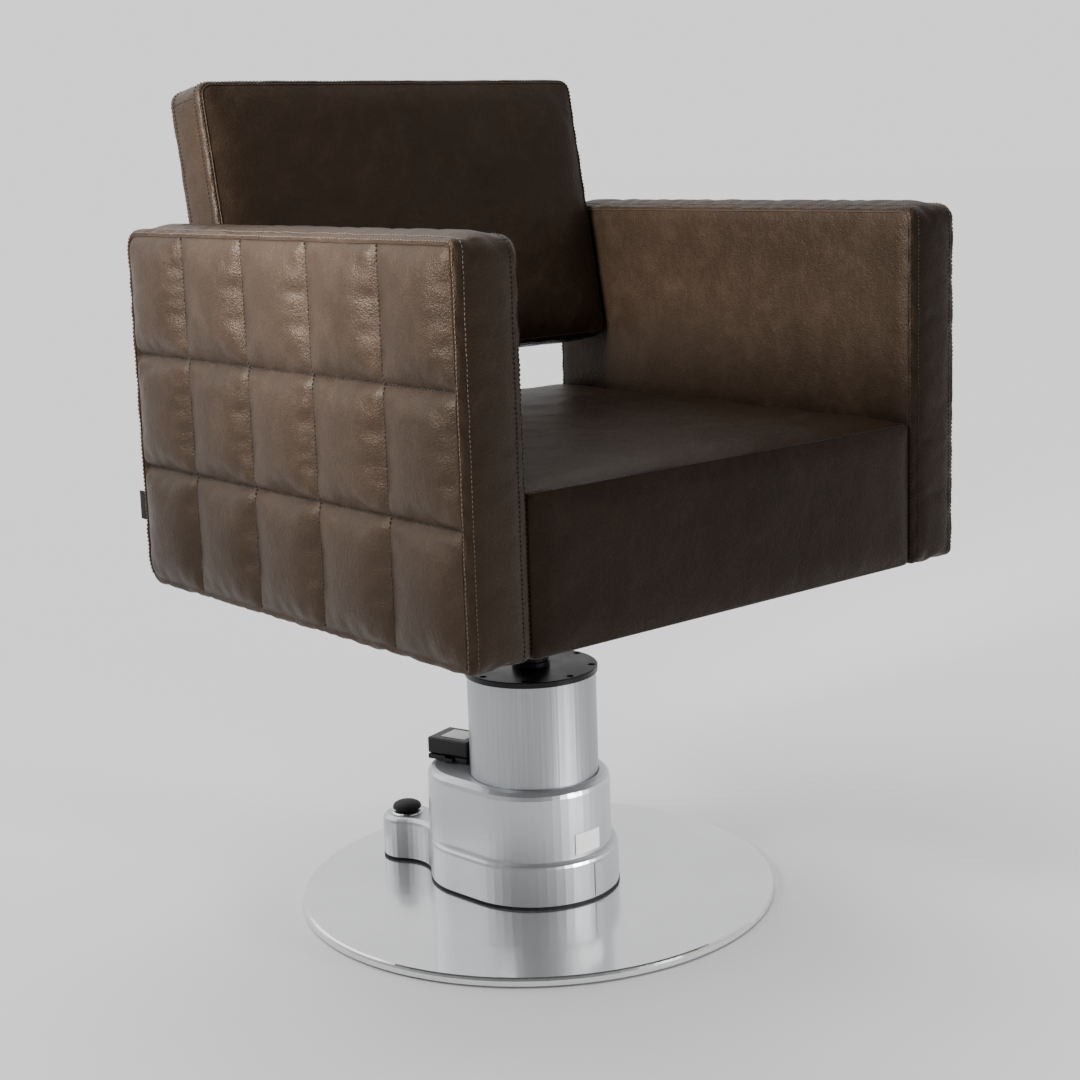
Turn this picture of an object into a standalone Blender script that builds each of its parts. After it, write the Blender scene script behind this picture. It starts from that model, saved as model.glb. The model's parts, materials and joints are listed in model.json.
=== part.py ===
"""Salon styling chair: an upholstered seat shell on a powered hydraulic column.

Frame: metres, +Z up, origin on the column's axis at the floor. The sitter faces -Y, and +X is on the
right as seen from the front. The motor end of the column's casing points along MOTOR_ANGLE.
"""

import math

import bmesh
import bpy
from mathutils import Matrix, Vector

# ---------------------------------------------------------------- driving dimensions, metres
GAP = 0.0004  # left between pieces that touch
SNUG = 0.0003  # left where one piece seats in or on another
TURN = 2.0 * math.pi

PLATE_RADIUS = 0.258
PLATE_THICKNESS = 0.0070
PAD_THICKNESS = 0.0020
COVER_SKIN = 0.0012
COVER_HOLE_RADIUS = 0.0640

CHAIR_WIDTH = 0.650
ARM_THICKNESS = 0.0703
ARM_HEIGHT = 0.3675
ARM_FRONT_Y = -0.314
ARM_REAR_Y = 0.233
CHAIR_UNDERSIDE_Z = 0.3675
SEAT_TOP_Z = 0.5165
SEAT_RAIL_TOP_Z = 0.4378
SEAT_FOAM_FRONT = 0.026  # foam in front of the seat frame
CORE_THICKNESS = 0.018

BACK_WIDTH = 0.503
BACK_HEIGHT = 0.304
BACK_THICKNESS = 0.062
BACK_TILT = math.radians(10.3)
BACK_FOOT_Y = 0.141
BACK_FOOT_Z = 0.583

MOTOR_ANGLE = math.radians(107.0)
MOTOR_DISTANCE = 0.0985
LOBE_DISTANCE = 0.177
LOBE_RADIUS = 0.028
WALL = 0.0030
LOWER_TIER = (0.0895, 0.045, 0.081)  # column radius, distance and radius of the motor end
UPPER_TIER = (0.0822, 0.057, 0.071)
LOBE_FILLET = 0.042
CASING_BOTTOM_Z = 0.0140
LEDGE_Z = 0.060
CASING_TOP_Z = 0.137

SLEEVE_RADIUS = 0.0700
SLEEVE_WALL = 0.0028
SLEEVE_BOTTOM_Z = 0.0200
FLANGE_RADIUS = 0.0722
FLANGE_BOTTOM_Z = 0.2485
FLANGE_TOP_Z = 0.2548
FLANGE_HOLES = 8
FLANGE_HOLE_CIRCLE = 0.0655

CYLINDER_RADIUS = 0.025
CYLINDER_BORE = 0.0215
CYLINDER_TOP_Z = 0.2150
RAM_RADIUS = 0.0195
RAM_BOTTOM_Z = 0.0500
SPINDLE_RADIUS = 0.0125
SPINDLE_BOTTOM_Z = 0.1500
SPINDLE_TOP_Z = 0.3500

BUTTON_TRAVEL = 0.0030
ROD_RADIUS = 0.0040

# ---------------------------------------------------------------- levels worked out from them
PLATE_BOTTOM_Z = PAD_THICKNESS + SNUG
PLATE_TOP_Z = PLATE_BOTTOM_Z + PLATE_THICKNESS
COVER_TOP_Z = PLATE_TOP_Z + SNUG + COVER_SKIN
ARM_OUTER_X = CHAIR_WIDTH / 2
ARM_INNER_X = ARM_OUTER_X - ARM_THICKNESS
ARM_TOP_Z = CHAIR_UNDERSIDE_Z + ARM_HEIGHT
ARM_CENTRE_X = (ARM_OUTER_X + ARM_INNER_X) / 2
FRAME_HALF_WIDTH = ARM_INNER_X - GAP
FRAME_FRONT_Y = ARM_FRONT_Y + SEAT_FOAM_FRONT
FRAME_REAR_Y = ARM_REAR_Y - 0.010
MOTOR_OUT = Vector((math.cos(MOTOR_ANGLE), math.sin(MOTOR_ANGLE), 0.0))
MOTOR_SIDE = Vector((math.sin(MOTOR_ANGLE), -math.cos(MOTOR_ANGLE), 0.0))
BACK_UP = Vector((0.0, math.sin(BACK_TILT), math.cos(BACK_TILT)))
BACK_REARWARD = Vector((0.0, math.cos(BACK_TILT), -math.sin(BACK_TILT)))
BACK_FOOT = Vector((0.0, BACK_FOOT_Y, BACK_FOOT_Z))


# ---------------------------------------------------------------- scene and materials
def clear_scene():
    for obj in list(bpy.data.objects):
        bpy.data.objects.remove(obj, do_unlink=True)


def new_collection(name):
    collection = bpy.data.collections.new(name)
    bpy.context.scene.collection.children.link(collection)
    return collection


clear_scene()
PARTS = new_collection("styling_chair")
CUTTERS = new_collection("cutters")

FINISHES = {
    "leather": ((0.075, 0.052, 0.038), 0.48, 0.0),
    "timber": ((0.55, 0.40, 0.24), 0.70, 0.0),
    "black_board": ((0.03, 0.03, 0.03), 0.85, 0.0),
    "black_steel": ((0.025, 0.025, 0.028), 0.38, 0.6),
    "dark_chrome": ((0.16, 0.16, 0.17), 0.22, 1.0),
    "zinc_steel": ((0.60, 0.61, 0.62), 0.38, 1.0),
    "stainless": ((0.72, 0.73, 0.73), 0.16, 1.0),
    "aluminium": ((0.66, 0.67, 0.69), 0.34, 1.0),
    "silver_paint": ((0.58, 0.59, 0.61), 0.36, 0.7),
    "cast_iron": ((0.16, 0.16, 0.16), 0.60, 0.8),
    "bronze": ((0.52, 0.34, 0.15), 0.40, 1.0),
    "black_rubber": ((0.020, 0.020, 0.020), 0.72, 0.0),
    "black_plastic": ((0.030, 0.030, 0.032), 0.42, 0.0),
    "green_board": ((0.03, 0.16, 0.07), 0.50, 0.0),
    "blank_label": ((0.74, 0.74, 0.72), 0.45, 0.0),
}


def finish_of(name, finish):
    colour, roughness, metallic = FINISHES[finish]
    material = bpy.data.materials.new(name)
    material.use_nodes = True
    shader = material.node_tree.nodes["Principled BSDF"]
    shader.inputs["Base Color"].default_value = (*colour, 1.0)
    shader.inputs["Roughness"].default_value = roughness
    shader.inputs["Metallic"].default_value = metallic
    return material


def placed(name, mesh, finish=None, smooth=True):
    """The mesh as an object: a part if it has a finish, and otherwise a hidden cutter."""
    obj = bpy.data.objects.new(name, mesh)
    if finish:
        PARTS.objects.link(obj)
        mesh.materials.append(finish_of(name, finish))
    else:
        CUTTERS.objects.link(obj)
        obj.hide_render = True
        obj.display_type = "WIRE"
    if smooth:
        mesh.shade_smooth()
        mesh.set_sharp_from_angle(angle=math.radians(35))
    return obj


# ---------------------------------------------------------------- shapes
def mesh_from(name, build):
    shape = bmesh.new()
    build(shape)
    mesh = bpy.data.meshes.new(name)
    shape.to_mesh(mesh)
    shape.free()
    return mesh


def box(name, low, high, finish=None, frame=None):
    """An upright box between two corners, or one in a tilted frame if a matrix is given."""
    size = [b - a for a, b in zip(low, high)]
    centre = Vector([(a + b) / 2 for a, b in zip(low, high)])

    def build(shape):
        bmesh.ops.create_cube(shape, size=1.0)
        bmesh.ops.scale(shape, vec=size, verts=shape.verts)
        bmesh.ops.translate(shape, vec=centre, verts=shape.verts)

    obj = placed(name, mesh_from(name, build), finish, smooth=False)
    if frame is not None:
        obj.matrix_world = frame
    return obj


def rod(name, radius, start, end, finish=None, sides=16):
    """A round bar between two points."""
    start, end = Vector(start), Vector(end)
    along = end - start
    turned_to = along.to_track_quat("Z", "Y").to_matrix().to_4x4()

    def build(shape):
        bmesh.ops.create_cone(shape, cap_ends=True, segments=sides, radius1=radius, radius2=radius,
                              depth=along.length)
        bmesh.ops.transform(shape, matrix=Matrix.Translation((start + end) / 2) @ turned_to,
                            verts=shape.verts)

    return placed(name, mesh_from(name, build), finish)


def turned(name, profile, finish=None, steps=48, centre=(0.0, 0.0)):
    """A ring or disc turned about an upright axis. The profile holds (radius, height) points that run
    down the outer side; one that starts and ends on the axis is left open there, any other is closed."""
    on_axis = profile[0][0] == 0.0

    def build(shape):
        points = [shape.verts.new((radius, 0.0, height)) for radius, height in profile]
        pairs = list(zip(points, points[1:]))
        if not on_axis:
            pairs.append((points[-1], points[0]))
        for pair in pairs:
            shape.edges.new(pair)

    obj = placed(name, mesh_from(name, build), finish, smooth=False)
    obj.location = (*centre, 0.0)
    screw = obj.modifiers.new("turn", "SCREW")
    screw.steps = screw.render_steps = steps
    screw.use_merge_vertices = True
    screw.merge_threshold = 0.00001
    screw.use_smooth_shade = True
    return obj


def slab(name, outline, low, high, finish=None, round_top=0.0, round_steps=3):
    """A flat outline drawn up between two heights, with its top edge rounded if asked."""
    curve = bpy.data.curves.new(name, "CURVE")
    curve.dimensions = "2D"
    curve.fill_mode = "BOTH"
    curve.extrude = (high - low) / 2
    spline = curve.splines.new("POLY")
    spline.points.add(len(outline) - 1)
    for point, (x, y) in zip(spline.points, outline):
        point.co = (x, y, 0.0, 1.0)
    spline.use_cyclic_u = True
    drawn = bpy.data.objects.new(name + "_outline", curve)
    PARTS.objects.link(drawn)
    graph = bpy.context.evaluated_depsgraph_get()
    mesh = bpy.data.meshes.new_from_object(drawn.evaluated_get(graph))
    bpy.data.objects.remove(drawn, do_unlink=True)
    shape = bmesh.new()
    shape.from_mesh(mesh)
    bmesh.ops.remove_doubles(shape, verts=shape.verts, dist=0.00001)
    flat_edges = [e for e in shape.edges if e.is_manifold and e.calc_face_angle(0.0) < 0.01]
    bmesh.ops.dissolve_edges(shape, edges=flat_edges, use_verts=False)
    bmesh.ops.recalc_face_normals(shape, faces=shape.faces)
    bmesh.ops.translate(shape, vec=(0.0, 0.0, (low + high) / 2), verts=shape.verts)
    if round_top:
        top = [e for e in shape.edges if all(v.co.z > high - 0.00001 for v in e.verts)]
        bmesh.ops.bevel(shape, geom=top, offset=round_top, segments=round_steps, profile=0.5,
                        affect="EDGES", clamp_overlap=True)
    shape.to_mesh(mesh)
    shape.free()
    mesh.materials.clear()
    return placed(name, mesh, finish)


def combine(obj, tool, operation="DIFFERENCE"):
    boolean = obj.modifiers.new(f"{operation.lower()}_{tool.name}", "BOOLEAN")
    boolean.operation = operation
    boolean.object = tool
    return obj


def round_edges(obj, width, segments=2):
    bevel = obj.modifiers.new("round", "BEVEL")
    bevel.width = width
    bevel.segments = segments
    bevel.limit_method = "ANGLE"
    return obj


# ---------------------------------------------------------------- outlines of the casing
def arc(centre, radius, start, end, steps):
    """Points from one angle to another, both included, counter-clockwise where end is the larger."""
    angles = [start + (end - start) * i / steps for i in range(steps + 1)]
    return [Vector((centre[0] + radius * math.cos(a), centre[1] + radius * math.sin(a))) for a in angles]


def into_row(points):
    """Turns outline points drawn with the motor end along +X to the motor's direction."""
    c, s = math.cos(MOTOR_ANGLE), math.sin(MOTOR_ANGLE)
    return [(c * p.x - s * p.y, s * p.x + c * p.y) for p in points]


def both_sides(upper):
    """Closes an outline that is the same on both sides of its long axis, from its upper half."""
    lower = [Vector((p.x, -p.y)) for p in reversed(upper[1:-1])]
    return upper + lower


def tier_outline(tier, inset=0.0):
    """Two circles joined by the straight lines that touch both."""
    column, distance, end = tier
    column, end = column - inset, end - inset
    lean = math.acos((column - end) / distance)
    half = arc((distance, 0), end, 0.0, lean, 12) + arc((0, 0), column, lean, math.pi, 16)
    return into_row(both_sides(half))


def lobed_outline(inset=0.0):
    """The lower tier: a round column end, a motor end, and a small lobe joined by a hollow curve."""
    column, distance, end = (LOWER_TIER[0] - inset, LOWER_TIER[1], LOWER_TIER[2] - inset)
    lobe, hollow = LOBE_RADIUS - inset, LOBE_FILLET + inset
    span = LOBE_DISTANCE - distance
    to_end, to_lobe = end + hollow, lobe + hollow
    at_end = math.acos((span**2 + to_end**2 - to_lobe**2) / (2 * span * to_end))
    hub = Vector((distance + to_end * math.cos(at_end), to_end * math.sin(at_end)))
    from_lobe = math.atan2(hub.y, hub.x - LOBE_DISTANCE)
    lean = math.acos((column - end) / distance)
    half = arc((LOBE_DISTANCE, 0), lobe, 0.0, from_lobe, 8)
    half += arc(hub, hollow, from_lobe + math.pi - TURN, at_end - math.pi, 9)[1:-1]
    half += arc((distance, 0), end, at_end, lean, 7)
    half += arc((0, 0), column, lean, math.pi, 16)
    return into_row(both_sides(half))


def beside_column(out, side, height):
    """A point given by its distance towards the motor and its distance to the side of it."""
    return MOTOR_OUT * out + MOTOR_SIDE * side + Vector((0.0, 0.0, height))


MOTOR_FRAME = Matrix.Rotation(MOTOR_ANGLE, 4, "Z")  # +X towards the motor, -Y towards MOTOR_SIDE


# ---------------------------------------------------------------- base plate
def make_base_plate():
    turned("floor_pad", [(0, PAD_THICKNESS), (PLATE_RADIUS - 0.012, PAD_THICKNESS),
                         (PLATE_RADIUS - 0.012, 0), (0, 0)], "black_rubber", 48)
    edge = PLATE_RADIUS - COVER_SKIN - 0.0006
    plate = turned("base_plate", [(0, PLATE_TOP_Z), (edge - 0.002, PLATE_TOP_Z),
                                  (edge, PLATE_TOP_Z - 0.002), (edge, PLATE_BOTTOM_Z),
                                  (0, PLATE_BOTTOM_Z)], "cast_iron", 48)
    for number, place in enumerate(foot_bolt_places()):
        combine(plate, rod(f"cut_plate_bolt_{number}", 0.0054, (*place, 0.0), (*place, 0.02)))


def make_plate_cover():
    """The polished skin: its rim turns down over the weight plate with a rounded corner."""
    outer, inner = PLATE_RADIUS, PLATE_RADIUS - COVER_SKIN
    corner = 0.0030
    angles = [math.radians(90 - 45 * i) for i in range(3)]
    outside = [(outer - corner + corner * math.cos(a), COVER_TOP_Z - corner + corner * math.sin(a))
               for a in angles]
    inside_corner = corner - COVER_SKIN
    inside = [(inner - inside_corner + inside_corner * math.cos(a),
               COVER_TOP_Z - corner + inside_corner * math.sin(a)) for a in reversed(angles)]
    rim = [(outer, PLATE_BOTTOM_Z + 0.0004), (inner, PLATE_BOTTOM_Z + 0.0004)]
    hole = [(COVER_HOLE_RADIUS, COVER_TOP_Z - COVER_SKIN), (COVER_HOLE_RADIUS, COVER_TOP_Z)]
    turned("plate_cover", outside + rim + inside + hole, "stainless", 90)


# ---------------------------------------------------------------- column, fixed half
FOOT_FLANGE_RADIUS = 0.060
FOOT_FLANGE_TOP_Z = 0.0176
FOOT_TOWER_TOP_Z = 0.0600
FOOT_BOLT_CIRCLE = 0.0510


def foot_bolt_places():
    """Three bolts on a circle, clear of the pressure pipe."""
    angles = [MOTOR_ANGLE + math.radians(60 + 120 * i) for i in range(3)]
    return [(FOOT_BOLT_CIRCLE * math.cos(a), FOOT_BOLT_CIRCLE * math.sin(a)) for a in angles]


def make_column_foot():
    bottom = PLATE_TOP_Z + SNUG
    foot = turned("column_foot", [(0, 0.0190), (CYLINDER_RADIUS + SNUG, 0.0190),
                                  (CYLINDER_RADIUS + SNUG, FOOT_TOWER_TOP_Z), (0.034, FOOT_TOWER_TOP_Z),
                                  (0.036, 0.024), (0.0415, FOOT_FLANGE_TOP_Z),
                                  (FOOT_FLANGE_RADIUS, FOOT_FLANGE_TOP_Z), (FOOT_FLANGE_RADIUS, bottom),
                                  (0, bottom)], "cast_iron", 28)
    for number, place in enumerate(foot_bolt_places()):
        combine(foot, rod(f"cut_foot_bolt_{number}", 0.0054, (*place, 0.0), (*place, 0.03)))
        head, shank = FOOT_FLANGE_TOP_Z + SNUG, PLATE_BOTTOM_Z + 0.0010
        turned(f"foot_bolt_{number + 1}", [(0, head + 0.006), (0.0080, head + 0.006), (0.0080, head),
                                           (0.0048, head), (0.0048, shank), (0, shank)],
               "zinc_steel", 10, place)


def make_cylinder():
    turned("cylinder_tube", [(CYLINDER_RADIUS, CYLINDER_TOP_Z), (CYLINDER_RADIUS, 0.0195),
                             (CYLINDER_BORE, 0.0195), (CYLINDER_BORE, CYLINDER_TOP_Z)], "zinc_steel", 24)
    seat, top = CYLINDER_TOP_Z + SNUG, CYLINDER_TOP_Z + 0.0180
    turned("gland_bush", [(0.0300, top), (0.0300, seat - 0.012), (CYLINDER_RADIUS + SNUG, seat - 0.012),
                          (CYLINDER_RADIUS + SNUG, seat), (RAM_RADIUS + SNUG, seat),
                          (RAM_RADIUS + SNUG, top)], "bronze", 24)


# ---------------------------------------------------------------- motor and pump
PUMP_BOTTOM_Z = COVER_TOP_Z + 0.0004
PUMP_TOP_Z = 0.0372
GEAR_TEETH = 9
GEAR_CENTRES = 0.0108
GEAR_LOW_Z, GEAR_HIGH_Z = 0.0290, 0.0362
MOTOR_RADIUS = 0.0232
MOTOR_TOP_Z = 0.1180


def gear_outline(centre, phase):
    """Straight-sided teeth: a root, a flank up, a tip and a flank down for each."""
    root, tip = 0.0040, 0.0060
    root_half, tip_half = math.radians(11.5), math.radians(4.0)
    points = []
    for tooth in range(GEAR_TEETH):
        middle = phase + TURN * tooth / GEAR_TEETH
        for angle, radius in ((-root_half, root), (-tip_half, tip), (tip_half, tip), (root_half, root)):
            points.append((centre[0] + radius * math.cos(middle + angle),
                           centre[1] + radius * math.sin(middle + angle)))
    return points


def make_pump():
    drive, idler = beside_column(MOTOR_DISTANCE, 0, 0), beside_column(MOTOR_DISTANCE, GEAR_CENTRES, 0)
    block = box("pump_block", (MOTOR_DISTANCE - 0.017, -0.0270, PUMP_BOTTOM_Z),
                (MOTOR_DISTANCE + 0.015, 0.0180, PUMP_TOP_Z), "aluminium", MOTOR_FRAME)
    for label, at in (("drive", drive), ("idler", idler)):
        combine(block, rod(f"cut_{label}_chamber", 0.0066, (at.x, at.y, GEAR_LOW_Z - 0.0004),
                           (at.x, at.y, 0.05), sides=20))
        combine(block, rod(f"cut_{label}_journal", 0.0024, (at.x, at.y, 0.0180), (at.x, at.y, 0.0300)))
    across = math.atan2(MOTOR_SIDE.y, MOTOR_SIDE.x)
    gap_half = math.pi / GEAR_TEETH
    for label, at, phase, shaft_top in (("pump_drive_gear", drive, across, 0.0550),
                                        ("pump_idler_gear", idler, across + math.pi + gap_half, 0.0364)):
        gear = slab(label, gear_outline(at, phase), GEAR_LOW_Z, GEAR_HIGH_Z, "zinc_steel")
        combine(gear, rod(f"join_{label}", 0.0020, (at.x, at.y, 0.0185), (at.x, at.y, shaft_top), sides=12),
                "UNION")


def make_motor():
    at = beside_column(MOTOR_DISTANCE, 0, 0)
    bottom = PUMP_TOP_Z + SNUG
    turned("drive_motor", [(0, MOTOR_TOP_Z), (0.010, MOTOR_TOP_Z), (0.010, MOTOR_TOP_Z - 0.005),
                           (MOTOR_RADIUS - 0.002, MOTOR_TOP_Z - 0.006), (MOTOR_RADIUS, MOTOR_TOP_Z - 0.008),
                           (MOTOR_RADIUS, bottom + 0.003), (0.0165, bottom + 0.003), (0.0165, bottom),
                           (0.0026, bottom), (0.0026, 0.0600), (0, 0.0600)], "black_steel", 20,
           (at.x, at.y))


def make_pressure_pipe():
    """Carries oil from the pump to the foot of the cylinder, below the sleeve."""
    start = beside_column(FOOT_FLANGE_RADIUS + GAP, 0, 0.0148)
    end = beside_column(MOTOR_DISTANCE - 0.017 - GAP, 0, 0.0148)
    rod("pressure_pipe", 0.0020, start, end, "zinc_steel", 10)


def make_control_board():
    box("control_board", (0.078, 0.0262, PUMP_TOP_Z - 0.012), (0.108, 0.0278, 0.090), "green_board",
        MOTOR_FRAME)


# ---------------------------------------------------------------- casing
def make_casing_seal():
    seal = slab("casing_seal", lobed_outline(-0.0004), COVER_TOP_Z + SNUG, CASING_BOTTOM_Z - SNUG,
                "black_rubber")
    combine(seal, slab("cut_seal", lobed_outline(WALL + 0.0015), 0.0, 0.05))


def make_casing():
    """Two tiers in one moulding: solids joined and then hollowed, with openings for what passes."""
    casing = slab("base_casing", lobed_outline(), CASING_BOTTOM_Z, LEDGE_Z, "silver_paint", 0.006, 3)
    upper = slab("join_upper_tier", tier_outline(UPPER_TIER), 0.030, CASING_TOP_Z, None, 0.009, 3)
    combine(casing, upper, "UNION")
    panel = box("join_moulded_panel", (0.080, -0.0065, CASING_BOTTOM_Z + 0.0010),
                (LOWER_TIER[0] + 0.0009, 0.0065, 0.052), None,
                Matrix.Rotation(math.radians(-83.0), 4, "Z"))
    combine(casing, panel, "UNION")
    combine(casing, slab("cut_lower_hollow", lobed_outline(WALL), 0.0, LEDGE_Z - WALL))
    combine(casing, slab("cut_upper_hollow", tier_outline(UPPER_TIER, WALL), 0.0, CASING_TOP_Z - WALL))
    combine(casing, rod("cut_sleeve_hole", SLEEVE_RADIUS + 0.0007, (0, 0, 0.10), (0, 0, 0.20), sides=64))
    at = beside_column(LOBE_DISTANCE, 0, 0)
    combine(casing, rod("cut_button_hole", BUTTON_STEM + 0.0012, (at.x, at.y, 0.050),
                        (at.x, at.y, 0.070), sides=24))


def make_rating_label():
    """A blank plate that follows the upper tier's wall, at the front."""
    inner, outer, half = UPPER_TIER[0] + SNUG, UPPER_TIER[0] + 0.0009, math.radians(12.0)
    facing = math.radians(-88.0)
    outline = arc((0, 0), outer, facing - half, facing + half, 8)
    outline += arc((0, 0), inner, facing + half, facing - half, 8)
    slab("rating_label", [tuple(p) for p in outline], 0.0640, 0.0870, "blank_label")


# ---------------------------------------------------------------- foot button
BUTTON_STEM = 0.0125
BUTTON_RADIUS = 0.0162
BEZEL_TOP_Z = LEDGE_Z + 0.0018


def make_foot_button():
    at = beside_column(LOBE_DISTANCE, 0, 0)
    centre = (at.x, at.y)
    turned("button_bezel", [(0.0176, BEZEL_TOP_Z - 0.0006), (0.0184, LEDGE_Z + SNUG),
                            (BUTTON_STEM + 0.0006, LEDGE_Z + SNUG), (BUTTON_STEM + 0.0006, BEZEL_TOP_Z),
                            (0.0168, BEZEL_TOP_Z)], "stainless", 28, centre)
    low = BEZEL_TOP_Z + BUTTON_TRAVEL + 0.0004
    dome = [(BUTTON_RADIUS * math.sin(a), low + 0.0020 + 0.0062 * math.cos(a))
            for a in (math.radians(22.5 * i) for i in range(5))]
    turned("foot_button", dome + [(BUTTON_RADIUS, low), (BUTTON_STEM, low), (BUTTON_STEM, 0.0480),
                                  (0, 0.0480)], "black_rubber", 28, centre)
    box("switch_block", (LOBE_DISTANCE - 0.011, -0.0085, PUMP_BOTTOM_Z),
        (LOBE_DISTANCE + 0.011, 0.0085, 0.0340), "black_plastic", MOTOR_FRAME)
    make_button_spring(at, 0.0344, 0.0476)


def make_button_spring(at, low, high):
    """A coil of round wire with its ends on the switch block and under the button."""
    wire, radius, turns, steps = 0.0006, 0.0065, 4, 9
    low, high = low + wire, high - wire
    curve = bpy.data.curves.new("button_spring", "CURVE")
    curve.dimensions = "3D"
    curve.bevel_depth = wire
    curve.bevel_resolution = 1
    curve.use_fill_caps = True
    spline = curve.splines.new("POLY")
    count = turns * steps + 1
    spline.points.add(count - 1)
    for index, point in enumerate(spline.points):
        angle = TURN * index / steps
        height = low + (high - low) * index / (count - 1)
        point.co = (at.x + radius * math.cos(angle), at.y + radius * math.sin(angle), height, 1.0)
    spring = bpy.data.objects.new("button_spring", curve)
    curve.materials.append(finish_of("button_spring", "zinc_steel"))
    PARTS.objects.link(spring)


# ---------------------------------------------------------------- battery on the casing
DOCK_LOW, DOCK_HIGH = (0.0740, -0.0225), (0.1270, 0.0225)
DOCK_TOP_Z = CASING_TOP_Z + 0.0060
BATTERY_TOP_Z = CASING_TOP_Z + 0.0250


def make_battery():
    """The pack sits on two rails of its dock and slides off outwards once the latch is pressed."""
    dock = box("battery_dock", (*DOCK_LOW, CASING_TOP_Z + SNUG), (*DOCK_HIGH, DOCK_TOP_Z),
               "black_plastic", MOTOR_FRAME)
    round_edges(dock, 0.0012)
    combine(dock, box("cut_dock_groove", (0.060, -0.0130, CASING_TOP_Z + 0.0025), (0.140, 0.0130, 0.160),
                      None, MOTOR_FRAME))
    combine(dock, box("cut_latch_pocket", (0.0900, 0.0172, 0.130), (0.1040, 0.030, 0.160), None,
                      MOTOR_FRAME))
    pack = box("battery_pack", (DOCK_LOW[0], DOCK_LOW[1] + 0.001, DOCK_TOP_Z + 0.0004),
               (DOCK_HIGH[0] + 0.001, DOCK_HIGH[1] - 0.001, BATTERY_TOP_Z), "black_plastic", MOTOR_FRAME)
    round_edges(pack, 0.0022)
    combine(pack, box("join_pack_tongue", (DOCK_LOW[0] + 0.002, -0.0122, CASING_TOP_Z + 0.0030),
                      (DOCK_HIGH[0] - 0.002, 0.0122, BATTERY_TOP_Z - 0.004), None, MOTOR_FRAME), "UNION")
    latch = box("battery_latch", (0.0905, 0.0200, CASING_TOP_Z + 0.0008),
                (0.1035, 0.0265, DOCK_TOP_Z - 0.0012), "black_plastic", MOTOR_FRAME)
    round_edges(latch, 0.0008, 1)


# ---------------------------------------------------------------- column, rising half
def make_sleeve():
    top = FLANGE_BOTTOM_Z - SNUG
    turned("column_sleeve", [(SLEEVE_RADIUS, top), (SLEEVE_RADIUS, SLEEVE_BOTTOM_Z),
                             (SLEEVE_RADIUS - SLEEVE_WALL, SLEEVE_BOTTOM_Z),
                             (SLEEVE_RADIUS - SLEEVE_WALL, top)], "aluminium", 64)


def make_top_flange():
    """Eight countersunk screws on its rim hold it; the ram hangs from its middle."""
    bevel, bore = 0.0008, SPINDLE_RADIUS + 0.0006
    flange = turned("top_flange", [(FLANGE_RADIUS - bevel, FLANGE_TOP_Z),
                                   (FLANGE_RADIUS, FLANGE_TOP_Z - bevel), (FLANGE_RADIUS, FLANGE_BOTTOM_Z),
                                   (bore, FLANGE_BOTTOM_Z), (bore, FLANGE_TOP_Z)], "black_steel", 64)
    for number in range(FLANGE_HOLES):
        angle = math.radians(-0.6) + TURN * number / FLANGE_HOLES
        x, y = FLANGE_HOLE_CIRCLE * math.cos(angle), FLANGE_HOLE_CIRCLE * math.sin(angle)
        combine(flange, rod(f"cut_flange_hole_{number}", 0.0042, (x, y, 0.24), (x, y, 0.27), sides=12))
        top, bottom = FLANGE_TOP_Z - 0.0022, FLANGE_BOTTOM_Z + 0.0002
        turned(f"flange_screw_{number + 1}", [(0, top - 0.0014), (0.0018, top - 0.0014), (0.0018, top),
                                              (0.0038, top), (0.0038, bottom), (0, bottom)],
               "black_steel", 10, (x, y))


def make_ram():
    top, bore = FLANGE_BOTTOM_Z - SNUG, SPINDLE_RADIUS + 0.0006
    bore_bottom = SPINDLE_BOTTOM_Z - 0.001
    turned("ram", [(0, bore_bottom), (bore, bore_bottom), (bore, top), (RAM_RADIUS, top),
                   (RAM_RADIUS, RAM_BOTTOM_Z), (0, RAM_BOTTOM_Z)], "zinc_steel", 24)


def make_piston():
    top = RAM_BOTTOM_Z - SNUG
    turned("piston_head", [(0, top), (CYLINDER_BORE - 0.0004, top), (CYLINDER_BORE - 0.0004, top - 0.004),
                           (CYLINDER_BORE - 0.0022, top - 0.005), (CYLINDER_BORE - 0.0022, top - 0.007),
                           (CYLINDER_BORE - 0.0004, top - 0.008), (CYLINDER_BORE - 0.0004, top - 0.012),
                           (0, top - 0.012)], "bronze", 20)


def make_swivel():
    low = FLANGE_TOP_Z + SNUG
    turned("swivel_bearing", [(0.0206, low + 0.0055), (0.0206, low), (SPINDLE_RADIUS + SNUG, low),
                              (SPINDLE_RADIUS + SNUG, low + 0.0055)], "black_steel", 32)
    low += 0.0058
    turned("hub_collar", [(0.0182, low + 0.0062), (0.0194, low + 0.0050), (0.0194, low + 0.0008),
                          (0.0186, low), (SPINDLE_RADIUS + SNUG, low),
                          (SPINDLE_RADIUS + SNUG, low + 0.0062)], "black_steel", 32)
    turned("spindle", [(0, SPINDLE_TOP_Z), (SPINDLE_RADIUS - 0.001, SPINDLE_TOP_Z),
                       (SPINDLE_RADIUS, SPINDLE_TOP_Z - 0.001), (SPINDLE_RADIUS, SPINDLE_BOTTOM_Z + 0.001),
                       (SPINDLE_RADIUS - 0.001, SPINDLE_BOTTOM_Z), (0, SPINDLE_BOTTOM_Z)],
           "dark_chrome", 24)


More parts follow.
